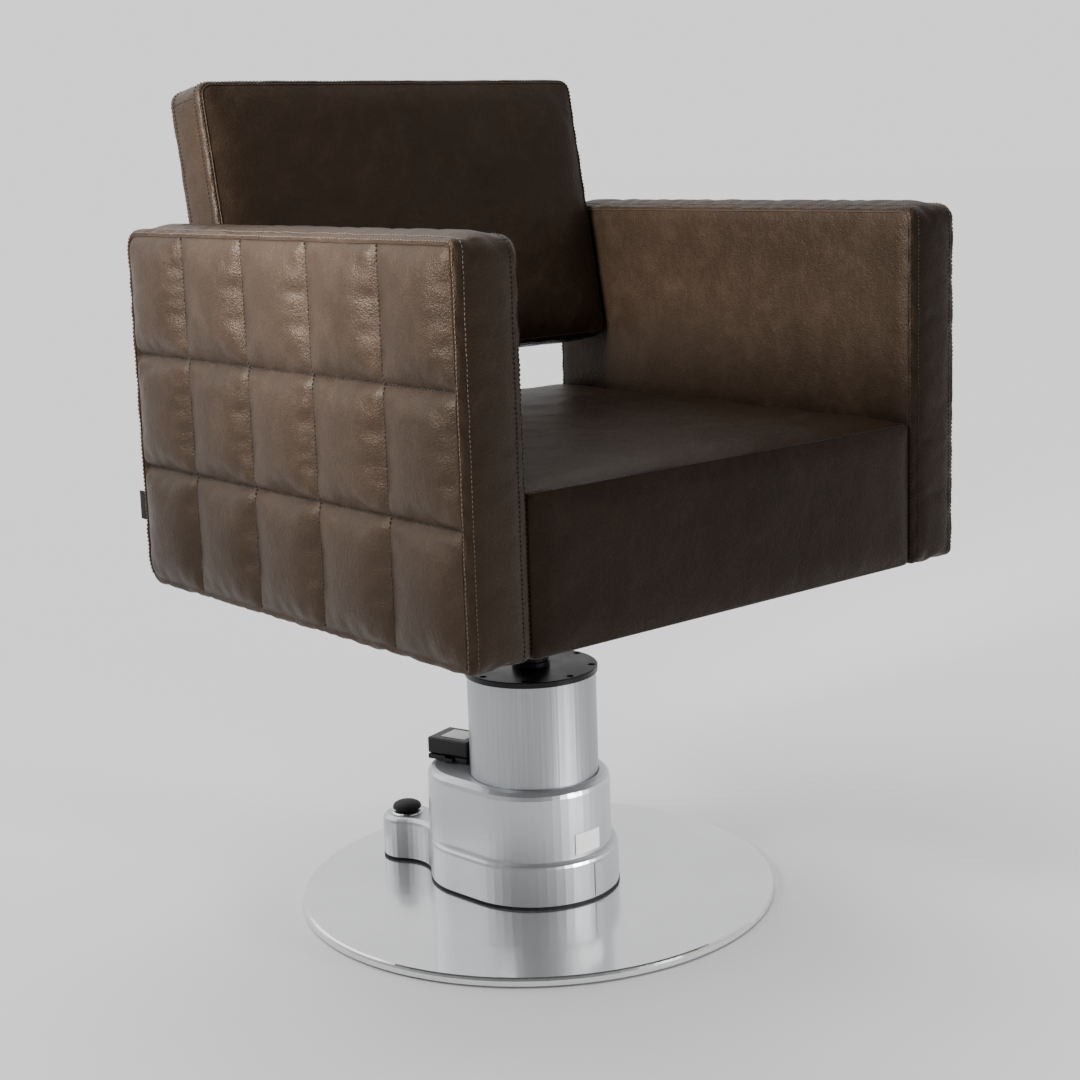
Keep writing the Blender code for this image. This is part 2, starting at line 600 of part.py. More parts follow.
# ---------------------------------------------------------------- seat structure
PANEL_BOTTOM_Z = CHAIR_UNDERSIDE_Z + SNUG
UNDERSIDE_BOTTOM_Z = CHAIR_UNDERSIDE_Z - 0.0030
SEAT_PLATE_TOP_Z = UNDERSIDE_BOTTOM_Z - SNUG
SEAT_PLATE_BOTTOM_Z = SEAT_PLATE_TOP_Z - 0.0060
PLATE_BOLTS = [(sx * 0.095, sy * 0.075) for sx in (-1, 1) for sy in (-1, 1)]
SEAT_ROD_Y = {"front": -0.200, "rear": 0.150}
SEAT_ROD_Z = 0.4120


def make_seat_plate():
    plate = box("seat_plate", (-0.120, -0.100, SEAT_PLATE_BOTTOM_Z), (0.120, 0.100, SEAT_PLATE_TOP_Z),
                "black_steel")
    boss = turned("join_seat_boss", [(0, SEAT_PLATE_TOP_Z - 0.001), (0.044, SEAT_PLATE_TOP_Z - 0.001),
                                     (0.044, SEAT_PLATE_BOTTOM_Z - 0.002), (0.024, 0.3350), (0.022, 0.3120),
                                     (0, 0.3120)], None, 28)
    combine(plate, boss, "UNION")
    combine(plate, rod("cut_seat_boss", SPINDLE_RADIUS + SNUG, (0, 0, 0.30),
                       (0, 0, SPINDLE_TOP_Z + SNUG), sides=24))
    for number, place in enumerate(PLATE_BOLTS):
        combine(plate, rod(f"cut_seat_plate_{number}", 0.0044, (*place, 0.34), (*place, 0.37)))
        head = SEAT_PLATE_BOTTOM_Z - SNUG
        turned(f"plate_bolt_{number + 1}", [(0, 0.3800), (0.0040, 0.3800), (0.0040, head), (0.0068, head),
                                            (0.0068, head - 0.0050), (0, head - 0.0050)],
               "zinc_steel", 10, place)


def make_underside_panel():
    panel = box("underside_panel", (-0.240, FRAME_FRONT_Y, UNDERSIDE_BOTTOM_Z),
                (0.240, FRAME_REAR_Y - 0.01, CHAIR_UNDERSIDE_Z), "black_board")
    for number, place in enumerate(PLATE_BOLTS):
        combine(panel, rod(f"cut_underside_{number}", 0.0044, (*place, 0.35), (*place, 0.38)))


def make_seat_frame():
    """A timber tray: a base board with four rails standing on it."""
    frame = box("seat_frame", (-FRAME_HALF_WIDTH, FRAME_FRONT_Y + GAP, PANEL_BOTTOM_Z),
                (FRAME_HALF_WIDTH, FRAME_REAR_Y, SEAT_RAIL_TOP_Z), "timber")
    combine(frame, box("cut_seat_tray", (-FRAME_HALF_WIDTH + 0.022, FRAME_FRONT_Y + 0.022, 0.3840),
                       (FRAME_HALF_WIDTH - 0.022, FRAME_REAR_Y - 0.022, 0.50)))
    for number, place in enumerate(PLATE_BOLTS):
        combine(frame, rod(f"cut_seat_frame_{number}", 0.0044, (*place, 0.35), (*place, 0.40)))
    for label, y in SEAT_ROD_Y.items():
        combine(frame, rod(f"cut_frame_rod_{label}", ROD_RADIUS + 0.0004, (-0.3, y, SEAT_ROD_Z),
                           (0.3, y, SEAT_ROD_Z), sides=12))


def make_seat_cushion():
    """Foam over the frame, brought down over its front and rear as far as the arms' lower edge."""
    half = ARM_INNER_X - 0.0008
    cushion = box("seat_cushion", (-half, ARM_FRONT_Y + 0.001, CHAIR_UNDERSIDE_Z),
                  (half, ARM_REAR_Y - 0.002, SEAT_TOP_Z), "leather")
    combine(cushion, box("cut_seat_foam", (-0.30, FRAME_FRONT_Y, 0.30),
                         (0.30, FRAME_REAR_Y + GAP, SEAT_RAIL_TOP_Z + GAP)))


# ---------------------------------------------------------------- arms
BACK_ROD_HEIGHTS = {"lower": 0.032, "upper": 0.108}  # up the back from its foot
BACK_ROD_DEPTH = 0.030


def back_point(x, up, rearward):
    return Vector((x, 0, 0)) + BACK_FOOT + BACK_UP * up + BACK_REARWARD * rearward


def cross_rods():
    """Name, y and z of every rod that runs from arm to arm."""
    rods = [(f"seat_rod_{label}", y, SEAT_ROD_Z) for label, y in SEAT_ROD_Y.items()]
    for label, height in BACK_ROD_HEIGHTS.items():
        at = back_point(0, height, BACK_ROD_DEPTH)
        rods.append((f"back_rod_{label}", at.y, at.z))
    return rods


def make_arm(side, sign):
    half = CORE_THICKNESS / 2
    middle = sign * ARM_CENTRE_X
    low_y, high_y, high_z = ARM_FRONT_Y + 0.024, ARM_REAR_Y - 0.022, ARM_TOP_Z - 0.026
    core = box(f"{side}_arm_core", (middle - half, low_y, PANEL_BOTTOM_Z), (middle + half, high_y, high_z),
               "timber")
    near, far = sorted((sign * ARM_INNER_X, sign * ARM_OUTER_X))
    pad = box(f"{side}_arm_pad", (near, ARM_FRONT_Y, CHAIR_UNDERSIDE_Z), (far, ARM_REAR_Y, ARM_TOP_Z),
              "leather")
    round_edges(pad, 0.009)
    combine(pad, box(f"cut_{side}_arm_slot", (middle - half - GAP, low_y - GAP, 0.30),
                     (middle + half + GAP, high_y + GAP, high_z + GAP)))
    for name, y, z in cross_rods():
        inner, outer = sign * 0.20, sign * 0.3005
        drill = rod(f"cut_{side}_{name}", ROD_RADIUS + 0.0004, (inner, y, z), (outer, y, z), sides=12)
        combine(core, drill)
        combine(pad, drill)


def make_cross_rods():
    for name, y, z in cross_rods():
        rod(name, ROD_RADIUS, (-0.2990, y, z), (0.2990, y, z), "zinc_steel", 12)


# ---------------------------------------------------------------- back
def make_back():
    frame = Matrix.Translation(BACK_FOOT) @ Matrix.Rotation(-BACK_TILT, 4, "X")
    half = BACK_WIDTH / 2
    cushion = box("back_cushion", (-half, 0, 0), (half, BACK_THICKNESS, BACK_HEIGHT), "leather", frame)
    round_edges(cushion, 0.010)
    low, high = BACK_ROD_DEPTH - CORE_THICKNESS / 2, BACK_ROD_DEPTH + CORE_THICKNESS / 2
    board = box("back_board", (-0.228, low, 0.002), (0.228, high, 0.272), "timber", frame)
    combine(cushion, box("cut_back_slot", (-0.228 - GAP, low - GAP, -0.05),
                         (0.228 + GAP, high + GAP, 0.2724), None, frame))
    for label, height in BACK_ROD_HEIGHTS.items():
        at = back_point(0, height, BACK_ROD_DEPTH)
        drill = rod(f"cut_back_{label}", ROD_RADIUS + 0.0004, (-0.3, at.y, at.z), (0.3, at.y, at.z),
                    sides=12)
        combine(cushion, drill)
        combine(board, drill)


def make_styling_chair():
    make_base_plate()
    make_plate_cover()
    make_column_foot()
    make_cylinder()
    make_pump()
    make_motor()
    make_pressure_pipe()
    make_control_board()
    make_casing_seal()
    make_casing()
    make_rating_label()
    make_foot_button()
    make_battery()
    make_sleeve()
    make_top_flange()
    make_ram()
    make_piston()
    make_swivel()
    make_seat_plate()
    make_underside_panel()
    make_seat_frame()
    make_seat_cushion()
    make_arm("left", -1)
    make_arm("right", 1)
    make_cross_rods()
    make_back()


make_styling_chair()
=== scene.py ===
import json
import math

import bmesh
import bpy
import numpy as np
from mathutils import Matrix, Vector, noise
from mathutils.bvhtree import BVHTree
from mathutils.kdtree import KDTree


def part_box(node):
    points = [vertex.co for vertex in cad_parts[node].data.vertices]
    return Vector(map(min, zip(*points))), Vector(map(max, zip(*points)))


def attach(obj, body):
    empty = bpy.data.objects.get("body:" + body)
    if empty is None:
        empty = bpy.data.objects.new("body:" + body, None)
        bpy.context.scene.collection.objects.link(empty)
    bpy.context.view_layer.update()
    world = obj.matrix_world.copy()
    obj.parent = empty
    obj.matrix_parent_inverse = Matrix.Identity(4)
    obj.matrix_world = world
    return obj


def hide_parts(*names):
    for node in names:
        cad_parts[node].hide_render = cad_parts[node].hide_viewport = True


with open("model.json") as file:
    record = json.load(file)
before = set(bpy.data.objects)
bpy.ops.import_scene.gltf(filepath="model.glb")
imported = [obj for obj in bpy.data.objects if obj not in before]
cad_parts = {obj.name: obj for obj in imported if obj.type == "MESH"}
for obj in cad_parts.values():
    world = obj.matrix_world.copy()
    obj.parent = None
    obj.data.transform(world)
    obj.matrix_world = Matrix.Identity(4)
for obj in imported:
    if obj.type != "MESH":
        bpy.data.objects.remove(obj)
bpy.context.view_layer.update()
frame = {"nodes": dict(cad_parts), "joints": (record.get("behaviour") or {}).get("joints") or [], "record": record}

# ---------------------------------------------------------------- sizes of the soft work, metres
CELL = 0.0075  # spacing of the cloth's mesh
QUILT_COLUMNS = 5
QUILT_ROWS = (0.345, 0.317, 0.338)  # shares of the arm's height, from the top row down
SEAM_INSET = 0.0032  # how deep the quilting seams are sewn in
CHANNEL_INSET = 0.0060
BORDER_INSET = 0.0020
BAND = 0.0100  # between a panel's seam and the row of stitches beside it
RIDGE = 0.0008
THREAD = 0.00050
QUILT_THREAD = 0.00080
STITCH_LENGTH = 0.0029
STITCH_PITCH = 0.0042
LIFT = 0.00025
BACK_THICKNESS = 0.062
BACK_HEIGHT = 0.304
BACK_TILT = math.radians(10.3)
BACK_FOOT = (0.0, 0.141, 0.583)
SEAT_BODY = "seat_swivel"

# how far each kind of surface may rise off its sewn lines, metres
QUILT_RISE = 0.0115
INNER_PANEL_RISE = 0.0015
ARM_STRIP_RISE = 0.0028
ARM_TOP_RISE = 0.0085
CUSHION_RISE = 0.0070
SEAT_SIDE_RISE = 0.0040
BACK_STRIP_RISE = 0.0024

PRESSURE = 40.0  # of the cloth, from inside
FOLD_INSET = 0.0012  # a seam's fold, from where the panel starts to roll
EDGE_STITCHES = 0.0016  # the row beside that fold, from the outline
BACK_EDGE_STITCHES = 0.0014
SEAM_END = 0.006  # a quilting seam stops this far from the outline
LINE_STEP = 0.003  # between points of a line to sew along

SAME = 1e-7  # coordinates closer than this are the same
TINY = 1e-9  # keeps divisions away from zero


# ================================================================ node trees
class Tree:
    """A material's node tree, with short calls to add and join its nodes."""

    def __init__(self, name):
        self.material = bpy.data.materials.new(name)
        self.material.use_nodes = True
        self.nodes = self.material.node_tree.nodes
        self.links = self.material.node_tree.links
        self.shader = self.nodes["Principled BSDF"]
        self.place = self.add("ShaderNodeTexCoord").outputs["Object"]

    def add(self, kind, inputs=None, **settings):
        node = self.nodes.new(kind)
        for key, value in settings.items():
            setattr(node, key, value)
        for key, value in (inputs or {}).items():
            self.give(node.inputs[key], value)
        return node

    def give(self, socket, value):
        if isinstance(value, bpy.types.NodeSocket):
            self.links.new(value, socket)
        elif hasattr(socket.default_value, "__len__") and isinstance(value, (int, float)):
            socket.default_value = (value,) * len(socket.default_value)
        else:
            socket.default_value = value

    def set(self, **values):
        for key, value in values.items():
            self.give(self.shader.inputs[key.replace("_", " ")], value)

    def scaled(self, scale, turn=(0, 0, 0), vector=None):
        return self.add("ShaderNodeMapping", {"Vector": vector or self.place, "Scale": scale,
                                              "Rotation": turn}).outputs[0]

    def noise(self, scale, detail=4.0, rough=0.55, vector=None, distortion=0.0):
        node = self.add("ShaderNodeTexNoise")
        for key, value in (("Vector", vector or self.place), ("Scale", scale), ("Detail", detail),
                           ("Roughness", rough), ("Distortion", distortion)):
            self.give(node.inputs[key], value)
        return node.outputs["Fac"]

    def cells(self, scale, vector=None):
        node = self.add("ShaderNodeTexVoronoi")
        self.give(node.inputs["Vector"], vector or self.place)
        self.give(node.inputs["Scale"], scale)
        return node.outputs["Distance"]

    def span(self, value, low, high, to_low=0.0, to_high=1.0):
        """Maps a value's range to another, clamped."""
        node = self.add("ShaderNodeMapRange", {"Value": value, "From Min": low, "From Max": high,
                                               "To Min": to_low, "To Max": to_high})
        return node.outputs["Result"]

    def mix(self, share, first, second):
        node = self.add("ShaderNodeMix", data_type="RGBA")
        self.give(node.inputs[0], share)
        self.give(node.inputs[6], first)
        self.give(node.inputs[7], second)
        return node.outputs[2]

    def maths(self, operation, first, second=0.0):
        node = self.add("ShaderNodeMath", operation=operation)
        self.give(node.inputs[0], first)
        self.give(node.inputs[1], second)
        return node.outputs[0]

    def bump(self, height, strength, depth, before=None):
        node = self.add("ShaderNodeBump", {"Height": height, "Strength": strength, "Distance": depth})
        if before is not None:
            self.links.new(before, node.inputs["Normal"])
        return node.outputs["Normal"]


def rgb(red, green, blue):
    return (red, green, blue, 1.0)


def toned(colour, share):
    """A colour made darker or lighter by a share."""
    return rgb(*[channel * share for channel in colour[:3]])


def leather(name, dark, mid, worn, seed, gloss):
    """Waxed, pulled-up leather: clouded tones, fine creases and a small pebble grain."""
    tree = Tree(name)
    shifted = tree.add("ShaderNodeMapping", {"Vector": tree.place,
                                             "Location": (seed, seed * 1.7, -seed)}).outputs[0]
    clouds = tree.noise(5.0, 5.0, 0.60, shifted, 0.4)
    wear = tree.noise(30.0, 8.0, 0.70, shifted, 0.3)
    crease = tree.noise(75.0, 6.0, 0.60, shifted, 1.2)
    slant = tree.scaled((60.0, 150.0, 60.0), (math.radians(38), 0, 0), shifted)
    folds = tree.noise(1.0, 5.0, 0.62, slant, 0.8)
    grain = tree.cells(560.0, shifted)
    pores = tree.noise(1100.0, 2.0, 0.5, shifted)
    base = tree.mix(tree.span(clouds, 0.30, 0.70), dark, mid)
    base = tree.mix(tree.span(wear, 0.48, 0.80, 0.0, 0.38), base, worn)
    base = tree.mix(tree.span(grain, 0.30, 0.75, 0.0, 0.30), base, toned(dark, 0.6))
    rough = tree.maths("ADD", tree.span(wear, 0.3, 0.8, 0.38, 0.50),
                       tree.span(grain, 0.0, 0.6, -0.03, 0.04))
    tree.set(Base_Color=base, Roughness=rough, Specular_IOR_Level=gloss, Specular_Tint=rgb(1.0, 0.80, 0.64))
    wide = tree.bump(crease, 0.30, 0.0016)
    slanted = tree.bump(folds, 0.40, 0.0012, wide)
    fine = tree.bump(tree.span(grain, 0.0, 0.75, 1.0, 0.0), 0.45, 0.00045, slanted)
    tree.links.new(tree.bump(pores, 0.15, 0.00010, fine), tree.shader.inputs["Normal"])
    return tree.material


def thread(name, colour):
    """Twisted thread: fine slanting ribs along each stitch."""
    tree = Tree(name)
    ribs = tree.add("ShaderNodeTexWave", {"Vector": tree.place, "Scale": 900.0,
                                          "Distortion": 1.0}).outputs["Fac"]
    tree.set(Base_Color=tree.mix(tree.span(tree.noise(300.0), 0.3, 0.7), toned(colour, 0.7), rgb(*colour)),
             Roughness=0.62)
    tree.links.new(tree.bump(ribs, 0.5, 0.0001), tree.shader.inputs["Normal"])
    return tree.material


def brushed(name, colour, along, roughness, coarse=5.0, fine=900.0, depth=0.00002):
    """Metal brushed along an axis: streaks of tone, roughness and relief that run with it."""
    tree = Tree(name)
    scale = [fine] * 3
    scale[along] = coarse
    streaks = tree.noise(1.0, 3.0, 0.6, tree.scaled(tuple(scale)))
    clouds = tree.noise(14.0, 4.0, 0.6)
    tone = tree.mix(tree.span(streaks, 0.25, 0.75), toned(colour, 0.74), rgb(*colour))
    tone = tree.mix(tree.span(clouds, 0.35, 0.75, 0.0, 0.10), tone, toned(colour, 0.80))
    rough = tree.maths("ADD", tree.span(streaks, 0.2, 0.8, roughness - 0.06, roughness + 0.07),
                       tree.span(clouds, 0.3, 0.7, -0.02, 0.03))
    tree.set(Base_Color=tone, Metallic=1.0, Roughness=rough)
    tree.links.new(tree.bump(streaks, 0.35, depth), tree.shader.inputs["Normal"])
    return tree.material


def stainless_plate():
    """Polished sheet with faint wipe marks, haze and fine straight brushing."""
    tree = Tree("plate_stainless")
    streaks = tree.noise(1.0, 3.0, 0.6, tree.scaled((18.0, 1400.0, 18.0), (0, 0, math.radians(24))))
    haze = tree.noise(6.0, 6.0, 0.62, None, 0.8)
    specks = tree.span(tree.noise(160.0, 3.0), 0.68, 0.78)
    tone = tree.mix(tree.span(haze, 0.3, 0.75), rgb(0.76, 0.77, 0.77), rgb(0.84, 0.85, 0.85))
    tone = tree.mix(tree.maths("MULTIPLY", specks, 0.10), tone, rgb(0.55, 0.56, 0.56))
    rough = tree.maths("ADD", tree.span(haze, 0.3, 0.8, 0.10, 0.20),
                       tree.span(streaks, 0.3, 0.7, -0.02, 0.03))
    tree.set(Base_Color=tone, Metallic=0.90, Roughness=rough)
    tree.links.new(tree.bump(streaks, 0.10, 0.00001), tree.shader.inputs["Normal"])
    return tree.material


def silver_paint():
    """Sprayed aluminium paint: fine flake sparkle under a thin lacquer, with a slight orange peel."""
    tree = Tree("casing_silver_paint")
    flakes = tree.cells(2600.0)
    peel = tree.noise(230.0, 2.0, 0.5)
    clouds = tree.noise(9.0, 4.0, 0.55)
    tone = tree.mix(tree.span(flakes, 0.1, 0.7), rgb(0.54, 0.55, 0.57), rgb(0.45, 0.46, 0.48))
    tone = tree.mix(tree.span(clouds, 0.35, 0.7, 0.0, 0.12), tone, rgb(0.38, 0.39, 0.41))
    tree.set(Base_Color=tone, Metallic=0.80, Roughness=tree.span(clouds, 0.3, 0.7, 0.30, 0.37),
             Coat_Weight=0.35, Coat_Roughness=0.18)
    relief = tree.bump(flakes, 0.10, 0.00006)
    tree.links.new(tree.bump(peel, 0.10, 0.00010, relief), tree.shader.inputs["Normal"])
    return tree.material


def moulded(name, colour, roughness, grain=1500.0, depth=0.00006, metallic=0.0, worn=None):
    """Moulded plastic, rubber or powder coat: an eroded texture, dusted and rubbed in places."""
    tree = Tree(name)
    texture = tree.noise(grain, 3.0, 0.55)
    rubbed = tree.noise(34.0, 5.0, 0.6)
    worn = worn or [min(1.0, c * 1.6 + 0.004) for c in colour]
    tone = tree.mix(tree.span(rubbed, 0.48, 0.78, 0.0, 0.45), rgb(*colour), rgb(*worn))
    rough = tree.maths("ADD", tree.span(rubbed, 0.3, 0.75, roughness - 0.05, roughness + 0.07),
                       tree.span(texture, 0.3, 0.7, -0.03, 0.03))
    tree.set(Base_Color=tone, Roughness=rough, Metallic=metallic, Specular_IOR_Level=0.25)
    tree.links.new(tree.bump(texture, 0.45, depth), tree.shader.inputs["Normal"])
    return tree.material


def timber():
    tree = Tree("sawn_timber")
    rings = tree.noise(1.0, 5.0, 0.6, tree.scaled((60.0, 3.0, 60.0)), 1.5)
    tree.set(Base_Color=tree.mix(tree.span(rings, 0.3, 0.7), rgb(0.50, 0.34, 0.18), rgb(0.66, 0.50, 0.30)),
             Roughness=tree.span(rings, 0.3, 0.7, 0.55, 0.75))
    tree.links.new(tree.bump(rings, 0.4, 0.0003), tree.shader.inputs["Normal"])
    return tree.material


# ================================================================ cloth skins
def grid_line(low, high, marks):
    """Coordinates from low to high that hold every mark, no further apart than a cell."""
    stops = sorted({low, high, *marks})
    line = [low]
    for start, end in zip(stops, stops[1:]):
        count = max(1, math.ceil((end - start) / CELL - 1e-6))
        line += [start + (end - start) * i / count for i in range(1, count + 1)]
    return line


def box_skin(xs, ys, zs):
    """The closed skin of a box as quads on a lattice: (points, faces)."""
    lines = (xs, ys, zs)
    sizes = [len(line) for line in lines]
    index, points, faces = {}, [], []

    def corner(place):
        if place not in index:
            index[place] = len(points)
            points.append([line[i] for line, i in zip(lines, place)])
        return index[place]

    for axis in range(3):
        u, v = (axis + 1) % 3, (axis + 2) % 3
        for end in (0, sizes[axis] - 1):
            for a in range(sizes[u] - 1):
                for b in range(sizes[v] - 1):
                    quad = []
                    for da, db in ((0, 0), (1, 0), (1, 1), (0, 1)):
                        place = [0, 0, 0]
                        place[axis], place[u], place[v] = end, a + da, b + db
                        quad.append(corner(tuple(place)))
                    faces.append(quad if end else quad[::-1])
    return np.array(points), faces


class Slab:
    """The cover of a padded slab: two panels, a strip between them, rolled edges, round corners.

    axis is the slab's thickness. corners gives, for each corner of the outline, its radius at the
    low panel and at the high one. marks are extra mesh lines along each axis, such as seams."""

    def __init__(self, axis, low, high, edge, corners, marks=((), (), ())):
        self.axis, self.edge, self.corners = axis, edge, corners
        self.plane = [a for a in range(3) if a != axis]
        self.low, self.high = np.array(low, float), np.array(high, float)
        lines = []
        for a in range(3):
            rolled = (low[a] + edge / 2, low[a] + edge, high[a] - edge, high[a] - edge / 2)
            lines.append(grid_line(low[a], high[a], (*rolled, *marks[a])))
        self.lattice, self.faces = box_skin(*lines)
        self.rest = self.place(self.lattice)
        self.pinned = np.zeros(len(self.lattice), bool)
        self.sewn = np.zeros(len(self.lattice), bool)
        self.most = np.zeros(len(self.lattice))

    def place(self, points):
        """Carries points of the plain box onto the rolled and rounded one."""
        points = np.array(points, float)
        through = points[:, self.axis]
        low, high, edge = self.low, self.high, self.edge
        depth = np.minimum(through - low[self.axis], high[self.axis] - through)
        gaps = np.stack([gap for a in self.plane
                         for gap in (points[:, a] - low[a], high[a] - points[:, a])])
        inset = gaps.min(axis=0)
        rolled = (depth < edge) & (inset < edge)
        length = np.maximum(np.hypot(depth - edge, inset - edge), TINY)
        new_depth = np.where(rolled, edge + (depth - edge) * edge / length, depth)
        new_inset = np.where(rolled, edge + (inset - edge) * edge / length, inset)
        moved = points.copy()
        near_low = through - low[self.axis] < high[self.axis] - through
        moved[:, self.axis] = np.where(near_low, low[self.axis] + new_depth, high[self.axis] - new_depth)
        for number, a in enumerate(self.plane):
            moved[:, a] += np.where(gaps[2 * number] <= inset + TINY, new_inset - inset, 0.0)
            moved[:, a] -= np.where(gaps[2 * number + 1] <= inset + TINY, new_inset - inset, 0.0)
        share = (through - low[self.axis]) / (high[self.axis] - low[self.axis])
        first, second = self.plane
        for (side_a, side_b), (start, end) in self.corners.items():
            radius = start + (end - start) * share
            centre_a = (high if side_a > 0 else low)[first] - side_a * radius
            centre_b = (high if side_b > 0 else low)[second] - side_b * radius
            away_a = (points[:, first] - centre_a) * side_a
            away_b = (points[:, second] - centre_b) * side_b
            inside = (away_a > 0) & (away_b > 0)
            scale = (radius - new_inset) / np.maximum(np.hypot(away_a, away_b), TINY)
            moved[inside, first] = (centre_a + side_a * away_a * scale)[inside]
            moved[inside, second] = (centre_b + side_b * away_b * scale)[inside]
        return moved

    def at(self, axis, value):
        return np.abs(self.lattice[:, axis] - value) < SAME

    def panel(self, end):
        """Mask of the low (0) or high (1) panel."""
        return self.at(self.axis, (self.low, self.high)[end][self.axis])

    def strip_ring(self, end, band):
        """Mask of the line round the strip at a distance from one of the panels."""
        through = (self.low, self.high)[end][self.axis] + (1, -1)[end] * band
        return self.at(self.axis, through) & (self.inset() < SAME)

    def inset(self):
        gaps = [gap for a in self.plane for gap in (self.lattice[:, a] - self.low[a],
                                                    self.high[a] - self.lattice[:, a])]
        return np.min(gaps, axis=0)

    def seam(self, panels):
        """Mask of the line where the given panels meet their rolled edge."""
        return panels & (np.abs(self.inset() - self.edge) < SAME)

    def path(self, end, band, inset, stops):
        """A line along the outline past the given corners, at a depth from one panel."""
        through = (self.low, self.high)[end][self.axis] + (1, -1)[end] * band
        corners = []
        for side_a, side_b in stops:
            point = np.empty(3)
            point[self.axis] = through
            for a, side in zip(self.plane, (side_a, side_b)):
                point[a] = self.high[a] - inset if side > 0 else self.low[a] + inset
            corners.append(point)
        return [Vector(p) for p in self.place([list(p) for p in along(corners, LINE_STEP)])]


ROUND_TRIP = ((-1, -1), (-1, 1), (1, 1), (1, -1), (-1, -1))


def read_points(mesh):
    flat = np.empty(len(mesh.vertices) * 3, np.float32)
    mesh.vertices.foreach_get("co", flat)
    return flat.reshape(-1, 3).astype(float)


def write_points(mesh, points):
    mesh.vertices.foreach_set("co", np.ascontiguousarray(points, np.float32).reshape(-1))
    mesh.update()


def blown_by_cloth(obj, pinned, slack):
    """Blows the skin up with Blender's cloth between its sewn lines, and returns each point's travel."""
    group = obj.vertex_groups.new(name="seams")
    group.add([int(i) for i in np.nonzero(pinned)[0]], 1.0, "REPLACE")
    cloth = obj.modifiers.new("cloth", "CLOTH")
    settings = cloth.settings
    settings.quality = 5
    settings.mass = 0.25
    settings.tension_stiffness = settings.compression_stiffness = 6.0
    settings.shear_stiffness = 3.0
    settings.bending_stiffness = 0.15
    settings.tension_damping = settings.compression_damping = settings.shear_damping = 3.0
    settings.use_pressure = True
    settings.uniform_pressure_force = PRESSURE
    settings.vertex_group_mass = "seams"
    settings.shrink_min = -slack
    settings.effector_weights.gravity = 0.0
    cloth.collision_settings.use_collision = False
    scene = bpy.context.scene
    for number in range(1, CLOTH_FRAMES + 1):
        scene.frame_set(number)
    rest = read_points(obj.data)
    evaluated = obj.evaluated_get(bpy.context.evaluated_depsgraph_get())
    travel = read_points(evaluated.to_mesh()) - rest
    evaluated.to_mesh_clear()
    obj.modifiers.remove(cloth)
    obj.vertex_groups.remove(group)
    scene.frame_set(1)
    return travel


CLOTH_FRAMES = 10
SEAM_CREASE = 0.85
UNEVEN_FROM = 0.003  # where a cover may rise less than this, it is less uneven
UNEVEN_SEAMS = 0.25  # the share of unevenness on the sewn lines


def draw_in(mesh, sewn):
    """Marks the edges that run along a seam, so that it stays a crisp valley."""
    crease = mesh.attributes.new("crease_edge", "FLOAT", "EDGE")
    for edge in mesh.edges:
        if sewn[edge.vertices[0]] and sewn[edge.vertices[1]]:
            edge.use_edge_sharp = True
            crease.data[edge.index].value = SEAM_CREASE


def upholster(name, slab, replaced, material, slack, uneven, seed, turn=None):
    """Makes a cover from its slab: blows it up, caps each point's travel, adds the hide's unevenness."""
    mesh = bpy.data.meshes.new(name)
    mesh.from_pydata([tuple(p) for p in slab.rest], [], slab.faces)
    mesh.materials.append(material)
    mesh.shade_smooth()
    draw_in(mesh, slab.sewn)
    obj = bpy.data.objects.new(name, mesh)
    bpy.context.scene.collection.objects.link(obj)
    travel = blown_by_cloth(obj, slab.pinned, slack)
    length = np.linalg.norm(travel, axis=1)
    limit = np.maximum(slab.most, 1e-6)
    travel *= (limit * np.tanh(length / limit) / np.maximum(length, TINY))[:, None]
    write_points(mesh, slab.rest + travel)
    free = np.minimum(1.0, slab.most / UNEVEN_FROM)
    crumple(mesh, uneven, seed, np.where(slab.pinned, UNEVEN_SEAMS, 1.0) * free)
    if turn is not None:
        mesh.transform(turn)
    smooth = obj.modifiers.new("smooth", "SUBSURF")
    smooth.levels = smooth.render_levels = 1
    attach(obj, SEAT_BODY)
    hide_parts(replaced)
    return obj


def crumple(mesh, amounts, seed, share):
    """The shallow, drifting unevenness of hide pulled over foam: (height, waves per metre) pairs."""
    points = read_points(mesh)
    normals = np.empty(len(points) * 3, np.float32)
    mesh.vertices.foreach_get("normal", normals)
    rise = np.zeros(len(points))
    for height, waves in amounts:
        shift = Vector((seed, waves, 0.0))
        rise += height * np.array([noise.fractal(Vector(p) * waves + shift, 1.0, 2.0, 3) for p in points])
    write_points(mesh, points + normals.reshape(-1, 3) * (rise * share)[:, None])


# ================================================================ stitches and ridges on a finished cover
def along(points, step):
    """Points at even steps along a broken line."""
    points = [Vector(p) for p in points]
    lengths = [0.0]
    for a, b in zip(points, points[1:]):
        lengths.append(lengths[-1] + (b - a).length)
    count = max(2, int(lengths[-1] / step))
    found, segment = [], 0
    for i in range(count + 1):
        want = lengths[-1] * i / count
        while segment < len(points) - 2 and lengths[segment + 1] < want:
            segment += 1
        piece = max(lengths[segment + 1] - lengths[segment], TINY)
        found.append(points[segment].lerp(points[segment + 1], (want - lengths[segment]) / piece))
    return found


def surface_of(obj):
    return BVHTree.FromObject(obj, bpy.context.evaluated_depsgraph_get())


STITCH_SHAPE = ((0.0, -0.8, 0.5), (0.22, 0.35, 0.95), (0.78, 0.35, 0.95), (1.0, -0.8, 0.5))
STITCH_SIDES = 5


